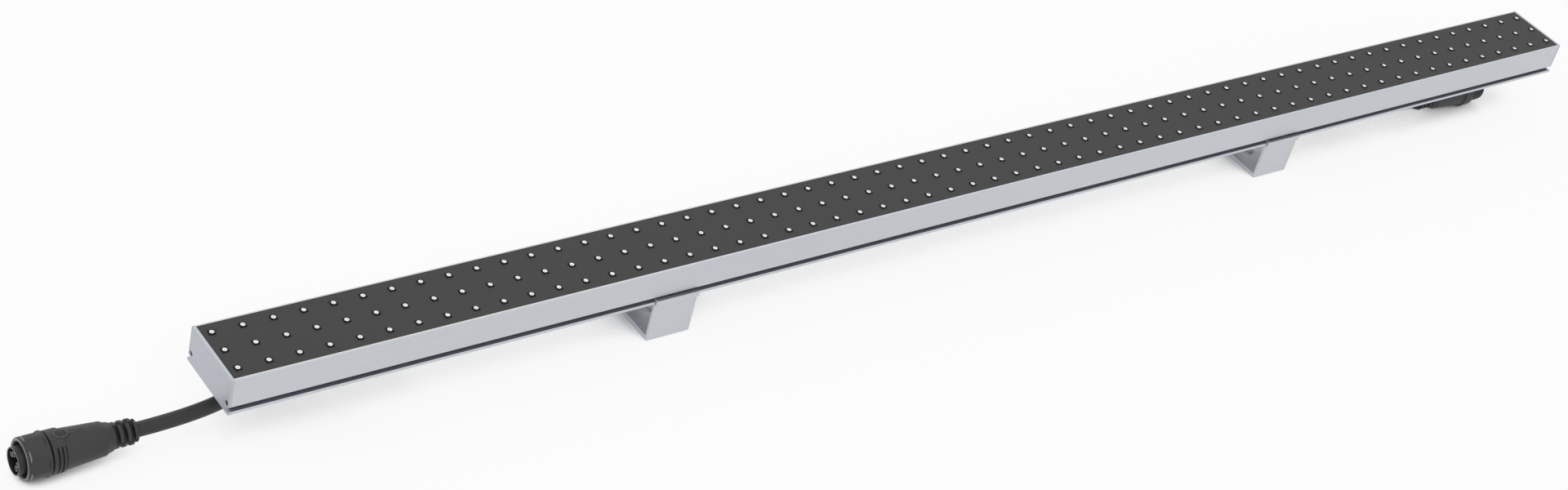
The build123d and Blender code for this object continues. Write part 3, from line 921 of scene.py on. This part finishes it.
def buildNut():
    # round lip in front, six flats with turned corners, a round flange behind, and a thread in the bore;
    # the marks paint highlights on the front rim and the corner chamfers, and shade into the back and the
    # thread
    length, back = nutShape["length"], nutShape["back"]
    bore, boreEnd = nutShape["bore"], nutShape["boreEnd"]
    threadStart, s = nutShape["thread"]
    rings = [(0.3, 9.15, "rim"), (0.0, 9.4, "rim"), (0.0, 10.2, "rim"), (0.1, 10.42, "rim"),
             (0.3, 10.58, "lip"), (1.2, 10.62, "lip"), (1.35, 10.66, "hex"), (1.5, 11.1, "edge"),
             (1.75, 11.42, "edge")]
    rings += [(station, nutShape["corner"], "hex") for station in (1.95, 2.3, 4.5, 7.0, 10.0, 10.55)]
    rings += [(10.8, 11.4, "lip"), (11.0, 11.45, "lip"), (length - 0.25, 11.45, "lip"), (length, 11.2, "lip"),
              (length, back + 0.25, "in"), (length - 0.2, back, "in"), (boreEnd + 0.2, back, "in"),
              (boreEnd, back + 0.25, "in"), (boreEnd, bore, "in")]
    while s > threadStart:
        rings.append((s, bore, "thread"))
        s -= nutShape["threadStep"]

    def radiusAt(s, r, theta, key):
        if key in ("hex", "edge"):
            part = (math.degrees(theta) - 15) % 60 - 30
            flat = nutShape["flat"] / math.cos(math.radians(part))
            soft = nutShape["soft"]
            out = -soft * math.log(math.exp(-r / soft) + math.exp(-flat / soft))
            # painted highlight streaks at the corners of the chamfer into the flats
            return out, (0.95 if key == "edge" and flat > r else 0)
        if key == "thread":
            phase = (s / nutShape["threadPitch"] + theta / (2 * math.pi)) % 1
            cut = nutShape["threadDepth"] * (1 - abs(2 * phase - 1))
            # painted shade in the thread, deeper further in
            return r - cut, -0.35 - 0.5 * smoothStep(s, 1, 5)
        # painted highlight on the front rim, painted shade inside the back
        return r, {"rim": 0.8, "in": -0.9}.get(key, 0)

    mesh = radialMesh("couplingNut", rings, 216, radiusAt, angle=32, hollow=True)
    piece = onPlug(socketPlug, "couplingNut", mesh, "nut")
    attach(piece, "nut")
    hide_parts("coupling_nut")
    return piece


def contactSpots(plug, aim):
    spots = []
    for angle in contacts["angles"]:
        a = math.radians(angle)
        y, z = contacts["radius"] * math.cos(a), contacts["radius"] * math.sin(a)
        spots.append(((plug["x"], plug["y"] + y, plug["z"] + z), aim))
    return spots


socketFront = {
    "floor": 4.7, "cup": 6.45, "mouth": -3.3, "wall": 7.1,
    "flangeStart": 9.0, "flangeEnd": 10.2, "flange": 8.5,
    # marks: painted shade in the deep cup, on the flange's front and along the wall towards the nut, a
    # painted highlight on the mouth's rim
    "marks": {"deep": -0.75, "rim": 0.65, "shade": -0.5},
    "sleeve": (-4.8, 2.6), "contact": (-4.5, 2.8), "seal": 8.0,
}


def buildSocketFront():
    cup, wall, mouth, flange = (socketFront[key] for key in ("cup", "wall", "mouth", "flange"))
    floor, flangeStart, flangeEnd = (socketFront[key] for key in ("floor", "flangeStart", "flangeEnd"))
    rings = [(floor, 0), (floor, cup - 0.15, "deep"), (floor - 0.2, cup, "deep"), (mouth + 0.4, cup, "deep"),
             (mouth + 0.15, cup + 0.05, "rim"), (mouth, cup + 0.17, "rim"), (mouth, wall - 0.2, "rim"),
             (mouth + 0.08, wall - 0.06, "rim"), (mouth + 0.3, wall), (1.0, wall), (3.0, wall, "shade"),
             (flangeStart, wall, "deep"), (flangeStart, flange - 0.1, "deep"), (flangeStart + 0.1, flange),
             (flangeEnd - 0.1, flange), (flangeEnd, flange - 0.1), (flangeEnd, 0)]
    marks = socketFront["marks"]
    # the marks paint shade and a highlight into the insert's colour
    mesh = radialMesh("socketInsert", rings, 96, lambda s, r, theta, key: (r, marks.get(key, 0)))
    insert = onPlug(socketPlug, "socketInsert", mesh, "insert")
    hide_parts("socket_insert")

    # dark sleeves on the cup's floor, each with a plated contact whose rim stands a little proud
    tube, hole, rim = contacts["sleeve"], contacts["hole"], contacts["rim"]
    low, high = socketFront["sleeve"]
    sleeveRings = [(high, hole + rim), (high, tube - 0.1), (high - 0.1, tube), (low, tube), (low, hole + rim)]
    low, high = socketFront["contact"]
    rimRings = [(high - 0.02, hole + 0.04), (high, hole + 0.1), (high, hole + rim),
                (high - 0.08, hole + rim + 0.07), (low, hole + rim), (low, hole)]
    sleeves = []
    for name, part, material, slot in (("socketSleeves", sleeveRings, "insert", "plug_insert"),
                                       ("socketRims", rimRings, "plating", "contact_metal")):
        spots = contactSpots(socketPlug, (-1, 0, 0))
        piece = copied(name, radialMesh(name, part, 32, hollow=True), material, spots)
        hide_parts("socket_contacts")
        sleeves.append(piece)

    s = socketFront["seal"]
    rings = [(s + 0.05, wall + 0.2), (s, wall + 0.4), (s, flange - 0.4), (s + 0.25, flange - 0.15),
             (s + 0.75, flange - 0.15), (s + 0.95, flange - 0.4), (s + 0.95, wall + 0.2),
             (s + 0.5, wall + 0.04)]
    mesh = radialMesh("socketSeal", rings, 72, angle=60, hollow=True)
    seal = onPlug(socketPlug, "socketSeal", mesh, "seal")
    for piece in [insert, seal] + sleeves:
        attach(piece, "bar")
    return [insert, seal] + sleeves


pinFront = {
    "shell": 8.9, "bore": 7.45, "cup": 10.5, "length": 12.0, "flange": 9.7, "end": 13.2,
    "threadPitch": 2.6, "threadDepth": 0.7, "threadStep": 0.2, "seal": 8.3,
}


def buildPinFront():
    # threaded shell: lead chamfer, coarse outer thread, flange; plain inside; painted shade in the thread's
    # roots
    shell, bore, cup, length, flange, end = (
        pinFront[key] for key in ("shell", "bore", "cup", "length", "flange", "end"))
    root = shell - pinFront["threadDepth"]
    rings = [(cup, 0), (cup, bore - 0.15), (cup - 0.2, bore), (0.3, bore), (0.0, bore + 0.25),
             (0.0, bore + 0.6), (0.35, bore + 0.85)]
    s = 0.6
    while s < cup + 0.1:
        rings.append((s, shell, "thread"))
        s += pinFront["threadStep"]
    rings += [(length - 1.1, root), (length - 0.1, root), (length, root + 0.2), (length, flange - 0.2),
              (length + 0.15, flange), (end - 0.2, flange), (end, flange - 0.2), (end, 0)]

    def radiusAt(s, r, theta, key):
        if key != "thread":
            return r, 0
        phase = (s / pinFront["threadPitch"] + theta / (2 * math.pi)) % 1
        crest = smoothStep(abs(2 * phase - 1), 0.25, 0.65)
        ends = smoothStep(s, 0.5, 1.6) * (1 - smoothStep(s, cup - 0.9, cup + 0.1))
        # painted shade in the thread's roots
        return r - pinFront["threadDepth"] * (1 - crest * ends), -0.6 * (1 - crest * ends)

    mesh = radialMesh("pinShell", rings, 120, radiusAt, angle=40)
    shellPiece = onPlug(pinPlug, "pinShell", mesh, "insert")
    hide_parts("pin_shell")

    pin = contacts["pin"]
    rings = [(-10.5, 0), (-10.5, pin), (-3.5, pin), (-3.15, pin * 0.75), (-3.0, pin * 0.4), (-3.0, 0)]
    spots = contactSpots(pinPlug, (1, 0, 0))
    pins = copied("plugPins", radialMesh("pin", rings, 20, angle=50), "plating", spots)
    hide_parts("pin_contacts")

    seat = pinFront["seal"]
    rings = [(11.0, seat), (10.95, seat + 0.7), (11.2, seat + 1.1), (11.75, seat + 1.1),
             (11.95, seat + 0.8), (11.95, seat)]
    mesh = radialMesh("pinSeal", rings, 72, angle=60, hollow=True)
    seal = onPlug(pinPlug, "pinSeal", mesh, "seal")
    for piece in (shellPiece, pins, seal):
        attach(piece, "bar")
    return [shellPiece, pins, seal]


leftPieces = [buildBody(socketPlug, "socketPlugBody"), buildNut()] + buildSocketFront()
rightPieces = [buildBody(pinPlug, "pinPlugBody")] + buildPinFront()
print("plugs made")

# cables

cable = {
    "diameter": 7.7,
    "left": {"route": [(-460, 0, 17.6), (-475.99, 0, 17.6), (-506.51, -2.55, 11.5), (-536.5, -2.55, 11.5)],
             "length": 0.07705},
    "right": {"route": [(311.5, 0, 17.6), (327.49, 0, 17.6), (358.01, -3.0, 10.5), (388.0, -3.0, 10.5)],
              "length": 0.07725},
}


def buildCable(name, side):
    curve = bpy.data.curves.new(name, "CURVE")
    curve.dimensions = "3D"
    curve.bevel_depth = cable["diameter"] * mm / 2
    curve.bevel_resolution = 12
    curve.resolution_u = 24
    curve.use_fill_caps = True
    spline = curve.splines.new("NURBS")
    route = cable[side]["route"]
    spline.points.add(len(route) - 1)
    for point, spot in zip(spline.points, route):
        point.co = (spot[0] * mm, spot[1] * mm, spot[2] * mm, 1)
    spline.order_u = 3
    spline.use_endpoint_u = True
    piece = newObject(name, curve, finish["jacket"])
    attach(piece, "bar")
    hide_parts("cables")
    [c * mm for c in route[0]]
    cable["diameter"] * mm
    return piece


buildCable("leftCable", "left")
buildCable("rightCable", "right")
print("cables made")

# stage, light and camera

stage = {
    "size": 9.0, "floor": 0.86, "shadow": 0.15, "world": 0.85, "closeness": 0.04, "open": (0.3, 0.42),
}
lamps = {
    "key": {"spot": (-0.9, -1.6, 2.2), "size": 1.8, "power": 10.0},
    "fill": {"spot": (-2.4, 0.6, 1.1), "size": 1.6, "power": 4.0},
    "rim": {"spot": (1.2, 2.2, 1.6), "size": 1.6, "power": 4.0},
}
view = {
    "lens": 64.0539, "sensor": 36.0, "clip": (0.05, 60.0), "spot": (-1.037659, -0.897936, 0.934342),
    "right": (0.79499313, -0.56425967, 0.22270374), "up": (0.20157111, 0.59198218, 0.78033722),
    "back": (-0.57214947, -0.57547209, 0.58436022),
}


def seenDirectly(tree):
    # 1 for what the lens, a reflection or glass sees, 0 for what lights the object
    path = tree.nodes.new("ShaderNodeLightPath")
    seen = path.outputs["Is Camera Ray"]
    for name in ("Is Glossy Ray", "Is Transmission Ray"):
        either = tree.nodes.new("ShaderNodeMath")
        either.operation = "MAXIMUM"
        tree.links.new(seen, either.inputs[0])
        tree.links.new(path.outputs[name], either.inputs[1])
        seen = either.outputs[0]
    return seen


def buildFloor():
    # plain pale floor; the lens and reflections see it nearly white with a faint shadow,
    # and where something closes it in it keeps its real shading
    half = stage["size"] / 2
    mesh = bpy.data.meshes.new("floor")
    corners = [(-half, -half, 0), (half, -half, 0), (half, half, 0), (-half, half, 0)]
    mesh.from_pydata(corners, [], [(0, 1, 2, 3)])
    paint = Paint("Floor", roughness=0.9)
    paint.feed(paint.surface.inputs["Base Color"], (stage["floor"],) * 3 + (1,))
    seen = Shade(paint, seenDirectly(paint.tree))
    near = paint.node("ShaderNodeAmbientOcclusion", {"samples": 8}, {"Distance": stage["closeness"]})
    openness = Shade(paint, near.outputs["AO"]).ramp(*stage["open"])
    glow = paint.node("ShaderNodeEmission", {}, {"Color": (1, 1, 1, 1), "Strength": 1.0})
    mix = paint.node("ShaderNodeMixShader", {}, {"Fac": seen * (1 - stage["shadow"]) * openness})
    paint.tree.links.new(paint.surface.outputs[0], mix.inputs[1])
    paint.tree.links.new(glow.outputs[0], mix.inputs[2])
    paint.tree.links.new(mix.outputs[0], paint.tree.nodes["Material Output"].inputs["Surface"])
    floor = newObject("floor", mesh, paint.material)


def buildWorld():
    world = bpy.data.worlds.new("studio")
    bpy.context.scene.world = world
    world.use_nodes = True
    tree = world.node_tree
    background = tree.nodes["Background"]
    white = tree.nodes.new("ShaderNodeBackground")
    mix = tree.nodes.new("ShaderNodeMixShader")
    for node, strength in ((background, stage["world"]), (white, 1.0)):
        node.inputs["Color"].default_value = (1, 1, 1, 1)
        node.inputs["Strength"].default_value = strength
    tree.links.new(seenDirectly(tree), mix.inputs["Fac"])
    tree.links.new(background.outputs[0], mix.inputs[1])
    tree.links.new(white.outputs[0], mix.inputs[2])
    tree.links.new(mix.outputs[0], tree.nodes["World Output"].inputs["Surface"])


def softLight(name, spot, size, power):
    # a round lamp that looks at the floor under the bar's middle
    lamp = bpy.data.lights.new(name, "AREA")
    lamp.shape = "DISK"
    lamp.size = size
    lamp.energy = power
    piece = newObject(name, lamp)
    piece.location = spot
    piece.rotation_euler = (Vector((0, 0, 0)) - Vector(spot)).to_track_quat("-Z", "Y").to_euler()


def buildCamera():
    camera = bpy.data.cameras.new("camera")
    camera.lens = view["lens"]
    camera.sensor_width = view["sensor"]
    camera.clip_start, camera.clip_end = view["clip"]
    piece = newObject("camera", camera)
    turn = Matrix((view["right"], view["up"], view["back"])).transposed().to_4x4()
    piece.matrix_world = Matrix.Translation(view["spot"]) @ turn
    bpy.context.scene.camera = piece


buildFloor()
buildWorld()
for name, lamp in lamps.items():
    softLight(name, **lamp)
buildCamera()
bpy.context.scene.view_settings.view_transform = "Standard"
print("stage, light and camera made")
